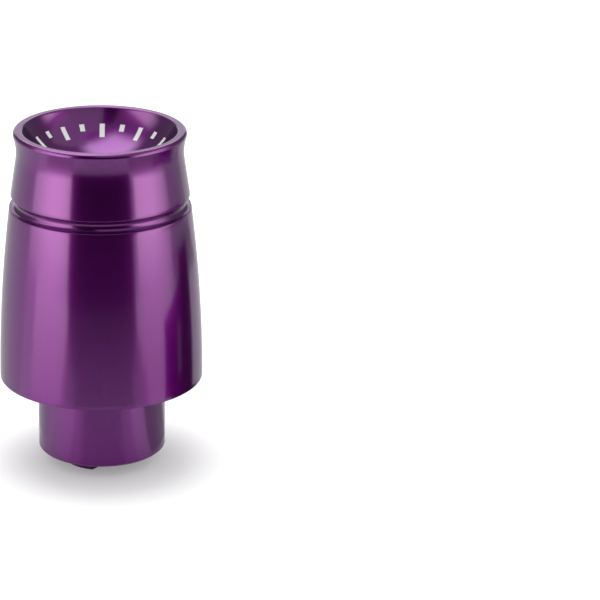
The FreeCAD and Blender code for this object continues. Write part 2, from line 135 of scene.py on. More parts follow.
class Section:
    """Half section of a turned piece, drawn point by point in the XZ plane and then spun round Z."""

    def __init__(self, radius, level):
        self.mesh = bmesh.new()
        self.start = self.tip = self.mesh.verts.new((radius, 0.0, level))
        self.corners = []

    def line(self, radius, level, steps=1):
        """Straight on to a point, in equal steps."""
        origin = self.tip.co.copy()
        target = Vector((radius, 0.0, level))
        for step in range(steps):
            made = bmesh.ops.extrude_vert_indiv(self.mesh, verts=[self.tip])
            self.tip = made["verts"][0]
            self.tip.co = origin.lerp(target, (step + 1) / steps)
        return self

    def arc(self, centre, turn, steps):
        """On along an arc about a centre (radius, level), anticlockwise if turn is positive."""
        made = bmesh.ops.spin(self.mesh, geom=[self.tip], cent=(centre[0], 0.0, centre[1]),
                              axis=(0.0, -1.0, 0.0), angle=turn, steps=steps, use_merge=False)
        self.tip = next(item for item in made["geom_last"] if isinstance(item, bmesh.types.BMVert))
        return self

    def corner(self, reach, segments):
        """The point reached so far gets broken later: reach is measured along both its sides."""
        self.corners.append((self.tip, reach, segments))
        return self

    def close(self):
        """Back to the first point."""
        bmesh.ops.contextual_create(self.mesh, geom=[self.tip, self.start])
        return self

    def spun(self, around):
        """The finished mesh, a full turn round Z."""
        for vertex, reach, segments in self.corners:
            bmesh.ops.bevel(self.mesh, geom=[vertex], offset=reach, offset_type="OFFSET",
                            affect="VERTICES", segments=segments, profile=0.5, material=-1)
        bmesh.ops.spin(self.mesh, geom=self.mesh.verts[:] + self.mesh.edges[:], cent=(0, 0, 0),
                       axis=(0, 0, 1), angle=FULL_TURN, steps=around, use_merge=True)
        bmesh.ops.remove_doubles(self.mesh, verts=self.mesh.verts, dist=SEAM)
        bmesh.ops.recalc_face_normals(self.mesh, faces=self.mesh.faces)
        return self.mesh


def tangent_reach(radius, turn):
    """How far a rounding of that radius reaches along each side of a corner that turns so much."""
    return radius * math.tan(abs(turn) / 2)


def arc_between(start, end, radius, side):
    """Centre and turn of the short arc of that radius; side is 1 if it turns anticlockwise."""
    chord = end - start
    reach = math.sqrt(radius ** 2 - (chord.length / 2) ** 2)
    across = Vector((-chord.y, chord.x)).normalized()
    centre = (start + end) / 2 + across * reach * side
    turn = 2 * math.asin(chord.length / (2 * radius)) * side
    return centre, turn


def slope_of(vector):
    return math.atan2(vector.y, vector.x)


# Meshes made into objects

def placed(mesh, name, material):
    """The mesh as an object at the origin, with one material; the bmesh is freed."""
    data = bpy.data.meshes.new(name)
    mesh.to_mesh(data)
    mesh.free()
    data.materials.append(material)
    item = bpy.data.objects.new(name, data)
    bpy.context.scene.collection.objects.link(item)
    return item


def shade(mesh):
    """Smooth surfaces with crisp corners."""
    for face in mesh.faces:
        face.smooth = True
    for edge in mesh.edges:
        edge.smooth = len(edge.link_faces) == 2 and edge.calc_face_angle(0.0) < SMOOTH_LIMIT


def finished(mesh, name, material):
    """The piece with smooth shading and face-weighted normals, on the part's one body."""
    shade(mesh)
    piece = placed(mesh, name, material)
    normals = piece.modifiers.new("face_weighted_normals", "WEIGHTED_NORMAL")
    normals.keep_sharp = True
    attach(piece, "root")
    return piece


def stage_mesh(mesh, name, material):
    """A thing of the studio, which isn't part of the object."""
    item = placed(mesh, name, material)
    return item


def joined(target, source):
    """Adds one bmesh to another and frees it."""
    carrier = bpy.data.meshes.new("carrier")
    source.to_mesh(carrier)
    source.free()
    target.from_mesh(carrier)
    bpy.data.meshes.remove(carrier)


# The turned weight; in this part and the next, s holds the sizes of the piece

KEY_ROOT = 0.05 * MM                    # how deep the drive key's lugs stand in the spigot
LUG_STEPS = 24                          # faces along a lug's round end


def rim_level(s):
    """Height of the top of the rim."""
    return s.key_height + s.spigot_length + s.body_length


def seat_level(s):
    """Height of the screw's seat in the weight."""
    return rim_level(s) - s.dish_depth - s.counterbore_depth


def weight_section(s):
    """Section of the weight, from the mouth of the bore round the outside and back through the dish."""
    end_face = s.key_height
    shoulder = end_face + s.spigot_length
    rim = rim_level(s)
    floor = rim - s.dish_depth
    seat = floor - s.counterbore_depth
    spigot_r = s.spigot_diameter / 2
    bore_r = s.bore_diameter / 2
    rim_r = s.rim_diameter / 2
    neck_r = rim_r - s.rim_flare
    base = Vector((s.base_diameter / 2, shoulder))
    lower = Vector((s.lip_diameter / 2, shoulder + s.sleeve_length))
    mouth = Vector((rim_r - s.rim_land, rim))
    hole = Vector((s.counterbore_diameter / 2, floor))

    # neck and rim edge, each tangent to its neighbours
    rise = s.neck_drop - s.rim_edge
    overhang = s.rim_edge - s.rim_flare
    neck_curve = (rise ** 2 + overhang ** 2 - s.rim_edge ** 2) / (2 * (s.rim_edge - overhang))
    neck_centre = Vector((neck_r + neck_curve, rim - s.neck_drop))
    edge_centre = Vector((rim_r - s.rim_edge, rim - s.rim_edge))
    between = edge_centre - neck_centre
    neck_low = neck_centre - Vector((math.cos(s.head_taper), math.sin(s.head_taper))) * neck_curve
    drop = neck_low.y - (lower.y + s.groove_width)
    upper = neck_low + Vector((math.tan(s.head_taper), -1.0)) * drop
    neck_turn = slope_of(between) - (math.pi + s.head_taper)
    edge_turn = math.pi / 2 - slope_of(-between)

    # sides, and how much the outline turns at the dish's mouth and at the counterbore's edge
    side_centre, side_turn = arc_between(base, lower, s.barrel_radius, 1)
    dish_centre, dish_turn = arc_between(mouth, hole, s.dish_radius, -1)
    mouth_turn = slope_of(mouth - dish_centre) + math.pi / 2
    lip_turn = -slope_of(hole - dish_centre)

    section = Section(bore_r, end_face)
    section.line(spigot_r, end_face, steps=4).corner(s.spigot_break, segments=1)
    section.line(spigot_r, shoulder, steps=8)
    section.line(base.x, shoulder, steps=4).corner(s.base_break, segments=4)
    section.arc(side_centre, side_turn, steps=40).corner(s.groove_break, segments=4)
    section.arc((lower + upper) / 2, -math.pi, steps=22).corner(s.groove_break, segments=4)
    section.line(neck_low.x, neck_low.y, steps=8)
    section.arc(neck_centre, neck_turn, steps=24)
    section.arc(edge_centre, edge_turn, steps=14)
    section.line(mouth.x, mouth.y, steps=3)
    section.corner(tangent_reach(s.dish_break, mouth_turn), segments=4)
    section.arc(dish_centre, dish_turn, steps=24)
    section.corner(tangent_reach(s.counterbore_lip, lip_turn), segments=8)
    section.line(hole.x, seat, steps=4)
    section.line(bore_r, seat, steps=2)
    section.close()
    return section


def key_lug(s):
    """One half of the drive key: the ring between the bore and the key's round end, cut by its flats."""
    outer = s.key_length / 2
    inner = s.bore_diameter / 2
    mesh = bmesh.new()
    for radius in (outer, inner):
        half = math.asin(s.key_width / 2 / radius)
        first = mesh.verts.new((radius * math.cos(half), -radius * math.sin(half), 0.0))
        bmesh.ops.spin(mesh, geom=[first], cent=(0, 0, 0), axis=(0, 0, 1),
                       angle=2 * half, steps=LUG_STEPS, use_merge=False)
    bmesh.ops.bridge_loops(mesh, edges=mesh.edges)
    made = bmesh.ops.extrude_face_region(mesh, geom=mesh.faces[:], use_keep_orig=True)
    raised = [item for item in made["geom"] if isinstance(item, bmesh.types.BMVert)]
    bmesh.ops.translate(mesh, verts=raised, vec=(0, 0, s.key_height + KEY_ROOT))
    bmesh.ops.recalc_face_normals(mesh, faces=mesh.faces)
    broken = [edge for edge in mesh.edges
              if all(abs(v.co.z) < SEAM for v in edge.verts)
              and edge.calc_face_angle(0.0) > SMOOTH_LIMIT
              and any(v.co.length > inner + SEAM for v in edge.verts)]
    bmesh.ops.bevel(mesh, geom=broken, offset=s.key_break, offset_type="OFFSET", affect="EDGES",
                    segments=1, profile=0.5, material=-1)
    return mesh


class BAREND_OT_weight(bpy.types.Operator):
    """Spins the weight from its half section and adds the two lugs of its drive key"""
    bl_idname = "bar_end.weight"
    bl_label = "Turned weight"

    def execute(self, context):
        s = context.scene.bar_end_weight
        mesh = weight_section(s).spun(s.around)
        for bearing in (0.0, math.pi):
            lug = key_lug(s)
            bmesh.ops.rotate(lug, verts=lug.verts, cent=(0, 0, 0),
                             matrix=Matrix.Rotation(bearing, 3, "Z"))
            joined(mesh, lug)
        piece = finished(mesh, "turned_weight", anodised_finish(context.scene))
        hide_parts("weight_body")
        return {"FINISHED"}


# The cap screw

SCREW_STEPS = 144                       # faces round the screw
SIXTH = FULL_TURN / 6                   # one side of the hexagon
DRILL_WIDTH = 0.98                      # of the hexagon's width across flats
DRILL_POINT = math.radians(60)          # half of the drill's point angle
KNURL_EVERY = 3                         # a groove on every third step round the head
THREAD_DEPTH = 0.6134                   # of the pitch
THREAD_FLANK = math.radians(30)
CREST_SHARE = 1 / 8                     # flat on the crest, of the pitch
STEPS_PER_TURN = 48
RIDGE_ROOT = 0.05 * MM                  # how deep the thread's ridge stands in the core


def socket_corner(s):
    """Distance from the axis to the corners of the socket's hexagon."""
    return s.socket_width / math.sqrt(3)


def hexagon_reach(s, angle):
    """Distance from the axis to the socket's flats in one direction; one corner lies on +X."""
    return s.socket_width / 2 / math.cos(angle % SIXTH - SIXTH / 2)


def socket_mouth(s, seat):
    """Outer and inner radius of the socket's countersunk mouth, and the levels of its top and foot."""
    top = seat + s.head_height
    corner = socket_corner(s)
    return corner + s.socket_break, corner - s.socket_break, top, top - 2 * s.socket_break


def screw_section(s, seat):
    """Section of the screw, from the axis at its tip round the outside and down into the socket."""
    tip = seat - s.under_head
    crest = s.diameter / 2
    core = crest - THREAD_DEPTH * s.pitch
    run_out = tip + s.thread_length
    head_r = s.head_diameter / 2
    flat_r = s.socket_width / 2
    point_r = DRILL_WIDTH * flat_r
    mouth_r, low_r, top, low = socket_mouth(s, seat)
    bottom = top - s.socket_depth
    tip_chamfer = s.tip_break / 2
    seat_break = s.head_break / 4
    section = Section(0.0, tip)
    section.line(core, tip).corner(tip_chamfer, segments=1)
    section.line(core, run_out, steps=4)
    section.line(crest, run_out + crest - core)
    section.line(crest, seat, steps=6)
    section.line(head_r, seat).corner(seat_break, segments=2)
    section.line(head_r, seat + s.knurl_margin)
    section.line(head_r, top - 2 * s.knurl_margin, steps=4)
    section.line(head_r, top).corner(s.head_break, segments=6)
    section.line(mouth_r, top)
    section.line(low_r, low)
    section.line(flat_r, low)
    section.line(flat_r, bottom, steps=3)
    section.line(point_r, bottom)
    section.line(0.0, bottom - point_r / math.tan(DRILL_POINT))
    return section


def cut_socket_and_knurl(mesh, s, seat):
    """Pushes the socket's round wall out to a hexagon and cuts the grooves round the head."""
    mouth_r, low_r, top, low = socket_mouth(s, seat)
    head_r = s.head_diameter / 2
    # the grooves take only the rows of points between the end rows of the head's side
    knurl_foot = seat + 1.5 * s.knurl_margin
    knurl_top = top - 2.5 * s.knurl_margin
    for vertex in mesh.verts:
        radius = math.hypot(vertex.co.x, vertex.co.y)
        angle = math.atan2(vertex.co.y, vertex.co.x)
        level = vertex.co.z
        target = radius
        if level > seat and abs(radius - s.socket_width / 2) < SEAM:
            target = hexagon_reach(s, angle)
        elif level > seat and abs(radius - low_r) < SEAM and abs(level - low) < SEAM:
            target = max(low_r, hexagon_reach(s, angle))
            vertex.co.z = top - (mouth_r - target)
        elif abs(radius - head_r) < SEAM and knurl_foot < level < knurl_top:
            step = round(angle / FULL_TURN * SCREW_STEPS)
            target = radius - (s.knurl_depth if step % KNURL_EVERY == 0 else 0.0)
        if radius > SEAM:
            vertex.co.x *= target / radius
            vertex.co.y *= target / radius


def thread_ridge(s, seat):
    """Helical ridge of the thread, rooted in the screw's core."""
    crest = s.diameter / 2
    root = crest - THREAD_DEPTH * s.pitch - RIDGE_ROOT
    tip_half = s.pitch * CREST_SHARE / 2
    half = tip_half + (crest - root) * math.tan(THREAD_FLANK)
    start = seat - s.under_head + s.tip_break + half
    turns = math.floor((s.thread_length - s.tip_break - 2 * half) / s.pitch)
    mesh = bmesh.new()
    outline = [mesh.verts.new((radius, 0.0, start + rise)) for radius, rise in
               ((root, -half), (crest, -tip_half), (crest, tip_half), (root, half))]
    sides = [mesh.edges.new(pair) for pair in zip(outline, outline[1:] + outline[:1])]
    bmesh.ops.spin(mesh, geom=outline + sides, cent=(0, 0, 0), axis=(0, 0, 1),
                   angle=FULL_TURN * turns, steps=STEPS_PER_TURN * turns,
                   dvec=(0, 0, s.pitch / STEPS_PER_TURN), use_merge=False)
    bmesh.ops.holes_fill(mesh, edges=mesh.edges, sides=4)
    bmesh.ops.recalc_face_normals(mesh, faces=mesh.faces)
    return mesh


class BAREND_OT_screw(bpy.types.Operator):
    """Spins the cap screw, cuts its socket and its knurl and winds its thread"""
    bl_idname = "bar_end.screw"
    bl_label = "Cap screw"

    def execute(self, context):
        s = context.scene.bar_end_screw
        seat = seat_level(context.scene.bar_end_weight)
        mesh = screw_section(s, seat).spun(SCREW_STEPS)
        cut_socket_and_knurl(mesh, s, seat)
        joined(mesh, thread_ridge(s, seat))
        piece = finished(mesh, "socket_cap_screw", steel_finish(context.scene))
        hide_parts("cap_screw")
        return {"FINISHED"}


# Laying out nodes

NOISE_LOW, NOISE_HIGH = 0.3, 0.7        # nearly all of a noise lies between these
COLOUR_A, COLOUR_B = 6, 7               # a Mix node's inputs for two colours
COLOUR_MIXED = 2                        # and its output


class Graph:
    """Shorthand for laying out one node tree; a value is a number, a colour or another node's socket."""

    def __init__(self, tree):
        self.tree = tree

    def add(self, kind, **settings):
        """A new node."""
        node = self.tree.nodes.new(kind)
        for name, value in settings.items():
            setattr(node, name, value)
        return node

    def link(self, source, target):
        self.tree.links.new(source, target)

    def feed(self, socket, value):
        """Links a socket to another one, or sets its own value."""
        if isinstance(value, bpy.types.NodeSocket):
            self.link(value, socket)
        else:
            socket.default_value = value

    def maths(self, operation, *values):
        node = self.add("ShaderNodeMath", operation=operation)
        for socket, value in zip(node.inputs, values):
            self.feed(socket, value)
        return node.outputs[0]

    def product(self, first, *others):
        """All the values multiplied."""
        for other in others:
            first = self.maths("MULTIPLY", first, other)
        return first

    def spread(self, value, low, high, to_low=0.0, to_high=1.0, smooth=False):
        """A value between low and high, brought to between to_low and to_high."""
        node = self.add("ShaderNodeMapRange")
        node.interpolation_type = "SMOOTHSTEP" if smooth else "LINEAR"
        for name, amount in (("Value", value), ("From Min", low), ("From Max", high),
                             ("To Min", to_low), ("To Max", to_high)):
            self.feed(node.inputs[name], amount)
        return node.outputs[0]

    def vary(self, noise, low=0.0, high=1.0):
        """A noise brought to between low and high."""
        return self.spread(noise, NOISE_LOW, NOISE_HIGH, low, high)

    def mix(self, factor, first, second, blend="MIX"):
        """Two colours mixed."""
        node = self.add("ShaderNodeMix", data_type="RGBA", blend_type=blend)
        self.feed(node.inputs["Factor"], factor)
        self.feed(node.inputs[COLOUR_A], first)
        self.feed(node.inputs[COLOUR_B], second)
        return node.outputs[COLOUR_MIXED]

    def toned(self, shade, tone):
        """A colour made lighter or darker by a number."""
        return self.mix(1.0, shade, self.vector(tone, tone, tone), "MULTIPLY")

    def noise(self, vector, scale, detail=2.0, roughness=0.5):
        node = self.add("ShaderNodeTexNoise", noise_dimensions="3D")
        self.feed(node.inputs["Vector"], vector)
        self.feed(node.inputs["Scale"], scale)
        self.feed(node.inputs["Detail"], detail)
        self.feed(node.inputs["Roughness"], roughness)
        return node.outputs[0]

    def axes(self, vector):
        """The three parts of a vector."""
        node = self.add("ShaderNodeSeparateXYZ")
        self.link(vector, node.inputs[0])
        return node.outputs

    def vector(self, x, y, z):
        node = self.add("ShaderNodeCombineXYZ")
        for socket, value in zip(node.inputs, (x, y, z)):
            self.feed(socket, value)
        return node.outputs[0]

    def from_axis(self, x, y):
        """Distance from the turning axis."""
        return self.maths("SQRT", self.maths("ADD", self.product(x, x), self.product(y, y)))

    def position(self):
        """The place on the object, in metres."""
        return self.add("ShaderNodeTexCoord").outputs["Object"]


def group_once(name, inputs, outputs, build):
    """Shader node group, built the first time it is asked for."""
    tree = bpy.data.node_groups.get(name)
    if tree:
        return tree
    tree = bpy.data.node_groups.new(name, "ShaderNodeTree")
    for direction, sockets in (("INPUT", inputs), ("OUTPUT", outputs)):
        for label, kind in sockets:
            tree.interface.new_socket(label, in_out=direction, socket_type=kind)
    graph = Graph(tree)
    build(graph, graph.add("NodeGroupInput"), graph.add("NodeGroupOutput"))
    return tree


def new_finish(name):
    """A material with its node tree and its shader."""
    material = bpy.data.materials.get(name) or bpy.data.materials.new(name)
    material.use_nodes = True
    material.node_tree.nodes.clear()
    graph = Graph(material.node_tree)
    shader = graph.add("ShaderNodeBsdfPrincipled")
    output = graph.add("ShaderNodeOutputMaterial")
    graph.link(shader.outputs[0], output.inputs[0])
    return material, graph, shader


def relief(graph, shader, height, strength, distance):
    """Fine relief of the surface."""
    bump = graph.add("ShaderNodeBump")
    bump.inputs["Strength"].default_value = strength
    bump.inputs["Distance"].default_value = distance
    graph.link(height, bump.inputs["Height"])
    graph.link(bump.outputs[0], shader.inputs["Normal"])


def rays_from_metal(graph, path):
    """1 for the rays by which a surface reflects or refracts its surroundings."""
    return graph.maths("MAXIMUM", path["Is Glossy Ray"], path["Is Transmission Ray"])


# Finishes of the pieces

ALUMINIUM_RINGS = 7000.0                # scale of the turning marks, per metre
STEEL_RINGS = 16000.0
BROAD_RINGS = 0.2                       # scale of the broad bands, of that of the fine rings
LIGHT_BAND = 1.05                       # how much lighter the dye is in its light bands
DYED_METAL = 0.9                        # how metallic the dyed layer is
PRINT_ROUGHNESS = 0.3                   # how much rougher than the metal the printed marks are

MARK_COUNT = 20                         # printed marks round the dish, long and short in turn
MARK_FOOT = 9.75 * MM                   # inner end of a long mark, from the axis
MARK_SHORTER = 0.95 * MM                # how much farther out a short mark starts
MARK_TOP = 11.6 * MM                    # outer end of every mark
MARK_HALF_WIDTH = 0.42 * MM
MARK_FADE = 0.04 * MM                   # over which a mark's edge fades
MARK_FACING = 0.3                       # marks lie only where the normal points up more than this

CLOUDS = 900.0                          # per metre, of the steel's light and dark clouds
BLOTCHES = 2500.0                       # per metre, of the blotches in the forged socket
FORGED_DARK = (0.30, 0.255, 0.20, 1.0)
FORGED_LIGHT = (0.40, 0.36, 0.30, 1.0)
FORGED_ROUGHNESS = 0.12                 # how much rougher the forged socket is
SOCKET_FADE = 0.15 * MM                 # over which the forged finish ends, past the corners


def turning_marks():
    """Fine rings that a lathe tool leaves: the same all round, different from one ring to the next."""
    def build(g, given, result):
        x, y, z = g.axes(given.outputs["Position"])
        rings = given.outputs["Rings per metre"]
        radius = g.from_axis(x, y)
        along = g.vector(radius, 0.0, z)
        g.link(g.noise(along, rings, detail=3.0, roughness=0.6), result.inputs["Height"])
        g.link(g.noise(along, g.product(rings, BROAD_RINGS)), result.inputs["Bands"])
        g.link(radius, result.inputs["Radius"])

    return group_once("turning_marks",
                      [("Position", "NodeSocketVector"), ("Rings per metre", "NodeSocketFloat")],
                      [("Height", "NodeSocketFloat"), ("Bands", "NodeSocketFloat"),
                       ("Radius", "NodeSocketFloat")], build)


def use_turning_marks(graph, position, rings):
    node = graph.add("ShaderNodeGroup")
    node.node_tree = turning_marks()
    graph.link(position, node.inputs["Position"])
    node.inputs["Rings per metre"].default_value = rings
    return node.outputs


def dish_marks(g, position, radius, s):
    """Mask of the plain marks printed on the dish's wall."""
    x, y, z = g.axes(position)
    pitch = FULL_TURN / MARK_COUNT
    place = g.maths("DIVIDE", g.maths("ARCTAN2", y, x), pitch)
    nearest = g.maths("ROUND", place)
    offset = g.product(g.maths("SUBTRACT", place, nearest), pitch)
    aside = g.maths("ABSOLUTE", g.product(offset, radius))
    short = g.maths("ABSOLUTE", g.maths("MODULO", nearest, 2.0))
    foot = g.maths("ADD", MARK_FOOT, g.product(short, MARK_SHORTER))
    past_foot = g.spread(radius, foot, g.maths("ADD", foot, MARK_FADE))
    below_top = g.spread(radius, MARK_TOP, MARK_TOP + MARK_FADE, 1.0, 0.0)
    across = g.spread(aside, MARK_HALF_WIDTH, MARK_HALF_WIDTH + MARK_FADE, 1.0, 0.0)
    in_dish = g.maths("GREATER_THAN", z, rim_level(s) - s.dish_depth)
    normal_up = g.axes(g.add("ShaderNodeNewGeometry").outputs["Normal"])[2]
    facing = g.maths("GREATER_THAN", normal_up, MARK_FACING)
    return g.product(across, past_foot, below_top, in_dish, facing)


def anodised_finish(scene):
    """Dyed anodising over fine turning, with plain printed marks round the dish."""
    colours = scene.bar_end_colours
    material, g, shader = new_finish("anodised_purple")
    position = g.position()
    turning = use_turning_marks(g, position, ALUMINIUM_RINGS)
    mark = dish_marks(g, position, turning["Radius"], scene.bar_end_weight)

    deep = (*colours.anodised, 1.0)
    light = (*(min(1.0, part * LIGHT_BAND) for part in colours.anodised), 1.0)
    dye = g.mix(g.vary(turning["Bands"]), deep, light)
    g.feed(shader.inputs["Base Color"], g.mix(mark, dye, (*colours.marks, 1.0)))
    g.feed(shader.inputs["Metallic"], g.maths("SUBTRACT", DYED_METAL, g.product(mark, DYED_METAL)))
    polish = g.vary(turning["Bands"], 0.28, 0.30)
    g.feed(shader.inputs["Roughness"], g.maths("ADD", polish, g.product(mark, PRINT_ROUGHNESS)))
    shader.inputs["Anisotropic"].default_value = 0.56
    shader.inputs["Anisotropic Rotation"].default_value = 0.25
    shader.inputs["Specular Tint"].default_value = (0.35, 0.25, 0.40, 1.0)
    shader.inputs["Coat Weight"].default_value = 1.0
    shader.inputs["Coat Roughness"].default_value = 0.135
    shader.inputs["Coat IOR"].default_value = 1.68
    relief(g, shader, turning["Height"], strength=0.001, distance=0.00002)
    return material


def steel_finish(scene):
    """Stainless steel, rolled and turned outside and left as forged in the socket."""
    material, g, shader = new_finish("stainless_steel")
    position = g.position()
    turning = use_turning_marks(g, position, STEEL_RINGS)
    cloud = g.noise(position, CLOUDS, detail=4.0, roughness=0.6)

    # the forged socket: warmer, darker and blotchier than the outside
    level = g.axes(position)[2]
    in_head = g.maths("GREATER_THAN", level, seat_level(scene.bar_end_weight))
    reach = socket_corner(scene.bar_end_screw)
    inside = g.product(in_head, g.spread(turning["Radius"], reach, reach + SOCKET_FADE, 1.0, 0.0))
    blotch = g.spread(g.noise(position, BLOTCHES, detail=3.0), 0.35, 0.65)
    steel = g.mix(inside, (*scene.bar_end_colours.steel, 1.0), g.mix(blotch, FORGED_DARK, FORGED_LIGHT))

    g.feed(shader.inputs["Base Color"], g.toned(steel, g.vary(cloud, 0.88, 1.08)))
    shader.inputs["Metallic"].default_value = 1.0
    polish = g.vary(turning["Bands"], 0.34, 0.44)
    g.feed(shader.inputs["Roughness"], g.maths("ADD", polish, g.product(inside, FORGED_ROUGHNESS)))
    height = g.maths("ADD", turning["Height"], g.product(cloud, inside))
    relief(g, shader, height, strength=0.15, distance=0.00003)
    return material


# Camera

CAMERA_BEARING = math.radians(-142.0)   # where the camera stands round the part, counted from +X
CAMERA_RANGE = 0.48783                  # from the turning axis
CAMERA_LEVEL = 0.21087                  # over the floor
CAMERA_YAW = 0.0710                     # radians that it looks to the right of the axis
CAMERA_PITCH = 0.3559                   # radians that it looks down
CAMERA_ROLL = 0.0179                    # radians that its right side is raised
CAMERA_LENS = 179.02                    # millimetres
CAMERA_SENSOR = 36.0                    # millimetres across


def from_camera(bearing, distance, level):
    """Point at a bearing in degrees, counted to the camera's right from the camera's own side."""
    angle = CAMERA_BEARING + math.radians(bearing)
    return Vector((distance * math.cos(angle), distance * math.sin(angle), level))


def place_camera(scene):
    data = bpy.data.cameras.new("camera")
    data.lens = CAMERA_LENS
    data.sensor_width = CAMERA_SENSOR
    data.clip_start = 0.01
    data.clip_end = 20.0
    camera = bpy.data.objects.new("camera", data)
    scene.collection.objects.link(camera)
    heading = CAMERA_BEARING + math.pi - CAMERA_YAW
    forward = Vector((math.cos(heading) * math.cos(CAMERA_PITCH),
                      math.sin(heading) * math.cos(CAMERA_PITCH), -math.sin(CAMERA_PITCH)))
    right = Vector((math.sin(heading), -math.cos(heading), 0.0))
    up = right.cross(forward)
    across = right * math.cos(CAMERA_ROLL) + up * math.sin(CAMERA_ROLL)
    upward = up * math.cos(CAMERA_ROLL) - right * math.sin(CAMERA_ROLL)
    turned = Matrix((across, upward, -forward)).transposed()
    place = Matrix.Translation(from_camera(0.0, CAMERA_RANGE, CAMERA_LEVEL))
    camera.matrix_world = place @ turned.to_4x4()
    scene.camera = camera


# Lamps

WARM = (1.0, 0.94, 0.86)
WHITE = (1.0, 1.0, 1.0)
EVEN = (1.0, 1.0)                       # an edge of a softbox that is as bright as its middle
FADED = (0.15, 0.27)                    # an edge of the overhead softbox

UPRIGHT_RANGE = 0.19                    # from the turning axis to the upright softboxes
OVERHEAD_LEVEL = 0.66
OVERHEAD_BEHIND = 0.18                  # how far behind the part the overhead lamps hang
OVERHEAD_TARGET = (0.0, 0.0, 0.06)      # on the axis, at the height of the rim
BOX_ASIDE = 0.114                       # how far to the camera's left the overhead softbox hangs
KEY_ASIDE = 0.060                       # how far to the camera's left the overhead light hangs

# Upright softboxes: name, bearing, level of the middle, width, height, radiance, edges
UPRIGHT_BOXES = (
    ("softbox_left_low", -64.5, 0.0775, 0.197, 0.155, 2.28,
     {"left": (0.40, 0.60), "right": (0.80, 0.25), "foot": (0.45, 0.21)}),
    ("softbox_left_high", -77.0, 0.2000, 0.310, 0.090, 1.90,
     {"left": (0.00, 0.40), "right": (0.60, 0.35), "top": (0.00, 0.50)}),
    ("softbox_right", 68.2, 0.0600, 0.179, 0.120, 2.02,
     {"right": (0.30, 0.60), "foot": (0.35, 0.27)}),
    ("softbox_right_high", 80.0, 0.1580, 0.226, 0.076, 2.15,
     {"left": (0.00, 0.20), "right": (0.00, 0.40), "top": (0.00, 0.40)}),
)


def softbox(name, centre, target, width, height, radiance, tint, edges):
    """Rectangular softbox facing a target point; it shows in reflections and not to the camera.

    edges gives how bright it still is at its left, right, foot or top, and the share of its width or
    height over which that rises to full. An edge that isn't named is as bright as the middle.
    """
    data = bpy.data.lights.new(name, "AREA")
    data.shape = "RECTANGLE"
    data.size = width
    data.size_y = height
    data.energy = radiance * math.pi * width * height
    data.color = tint
    data.use_nodes = True
    data.node_tree.nodes.clear()
    g = Graph(data.node_tree)
    across, upward = g.axes(g.add("ShaderNodeNewGeometry").outputs["Parametric"])[:2]
    glow = 1.0
    for edge, place, start, inward in (("left", across, 0.0, 1.0), ("right", across, 1.0, -1.0),
                                       ("foot", upward, 0.0, 1.0), ("top", upward, 1.0, -1.0)):
        level, share = edges.get(edge, EVEN)
        glow = g.product(glow, g.spread(place, start, start + inward * share, level, 1.0, smooth=True))
    emission = g.add("ShaderNodeEmission")
    g.feed(emission.inputs["Strength"], glow)
    g.link(emission.outputs[0], g.add("ShaderNodeOutputLight").inputs[0])
    lamp = bpy.data.objects.new(name, data)
    bpy.context.scene.collection.objects.link(lamp)
    lamp.rotation_euler = (Vector(target) - centre).to_track_quat("-Z", "Y").to_euler()
    lamp.location = centre
    lamp.visible_camera = False
    return lamp


def hang_lamps():
    """The softboxes, which only reflections see, and the overhead light, which they don't see."""
    for name, bearing, level, width, height, radiance, edges in UPRIGHT_BOXES:
        box = softbox(name, from_camera(bearing, UPRIGHT_RANGE, level), (0.0, 0.0, level),
                      width, height, radiance, WARM, edges)
        box.visible_diffuse = False
    behind = from_camera(180.0, OVERHEAD_BEHIND, OVERHEAD_LEVEL)
    box = softbox("softbox_overhead", behind + from_camera(-90.0, BOX_ASIDE, 0.0), OVERHEAD_TARGET,
                  width=0.636, height=0.618, radiance=2.5, tint=WHITE,
                  edges={"left": FADED, "right": FADED, "foot": FADED, "top": FADED})
    box.visible_diffuse = False
    key = softbox("key_overhead", behind + from_camera(-90.0, KEY_ASIDE, 0.0), OVERHEAD_TARGET,
                  width=0.54, height=0.54, radiance=1.8, tint=WHITE, edges={})
    key.visible_glossy = False


# Floor, boards and surroundings

FLOOR_RADIUS = 3.0
FLOOR_GLOW_AND_PAINTED_SHADE = (0.011, 0.034, 0.24, 0.60)         # two distances from the axis, and the glow at each; the weaker glow near the foot is painted shade round the part
FLOOR_IN_METAL = 0.05                   # share of that glow that reflections see
SPECKLES = 400.0                        # per metre, of the floor's faint speckles
ROOM_IN_METAL = 0.2                     # how bright reflections see the surroundings
ROOM_FILL = 0.8                         # light that the surroundings give
WEAVE = 600.0                           # per metre, of the lighter and darker spots in the boards' glow
PAINTED_SHEEN_FROM = 0.35                       # tilt at which a board's painted sheen starts
PAINTED_SHEEN_POWER = 2.6                       # how late the painted sheen rises towards edge on
BOARD_STEPS = 24                        # faces along a board
BLACK = (0.0, 0.0, 0.0)
UNDER, OVER = 0.0004, 0.0008            # levels of the boards on the floor; the widest painted shades lie over


def evenly(closed):
    """How see-through a net is that is as closed face on as edge on."""
    return 0.0, 1.0, closed, closed
